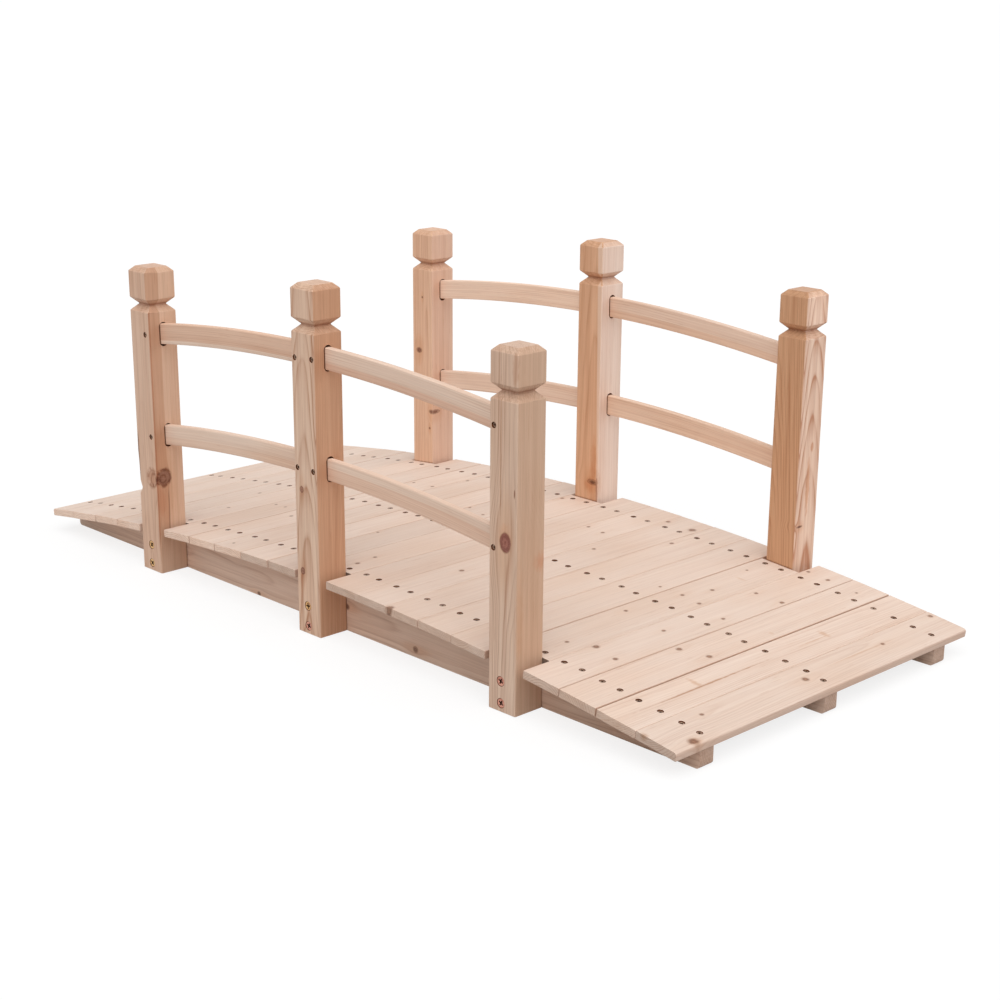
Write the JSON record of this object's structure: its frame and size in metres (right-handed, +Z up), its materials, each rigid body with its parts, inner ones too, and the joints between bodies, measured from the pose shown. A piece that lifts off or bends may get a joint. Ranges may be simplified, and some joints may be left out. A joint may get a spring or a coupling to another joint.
{
  "type": "arched timber garden footbridge",
  "caption": "Arched garden moon bridge of bare fir: boards across three flat-footed arched stringers, with grooved-neck posts and curved rails along both sides.",
  "frame": {"origin": "on the ground under the middle of the bridge", "axes": "+X along the walkway, +Y across it towards the back railing, +Z up"},
  "size_m": [1.518, 0.6862, 0.556],
  "materials": {
    "deck_boards": "bare planed fir, pale",
    "posts": "bare planed fir with knots",
    "rails": "bare sanded fir",
    "stringers": "bare sawn fir"
  },
  "bodies": {
    "root": {"deck_board_01": "deck_boards", "deck_board_02": "deck_boards", "deck_board_03": "deck_boards", "deck_board_04": "deck_boards", "deck_board_05": "deck_boards", "deck_board_06": "deck_boards", "deck_board_07": "deck_boards", "deck_board_08": "deck_boards", "deck_board_09": "deck_boards", "deck_board_10": "deck_boards", "deck_board_11": "deck_boards", "deck_board_12": "deck_boards", "deck_board_13": "deck_boards", "deck_board_14": "deck_boards", "deck_board_15": "deck_boards", "deck_board_16": "deck_boards", "deck_board_17": "deck_boards", "deck_board_18": "deck_boards", "deck_board_19": "deck_boards", "deck_board_20": "deck_boards", "deck_board_21": "deck_boards", "post_back_left": "posts", "post_back_middle": "posts", "post_back_right": "posts", "post_front_left": "posts", "post_front_middle": "posts", "post_front_right": "posts", "rail_back_left_lower": "rails", "rail_back_left_upper": "rails", "rail_back_right_lower": "rails", "rail_back_right_upper": "rails", "rail_front_left_lower": "rails", "rail_front_left_upper": "rails", "rail_front_right_lower": "rails", "rail_front_right_upper": "rails", "stringer_back": "stringers", "stringer_centre": "stringers", "stringer_front": "stringers"}
  },
  "joints": []
}
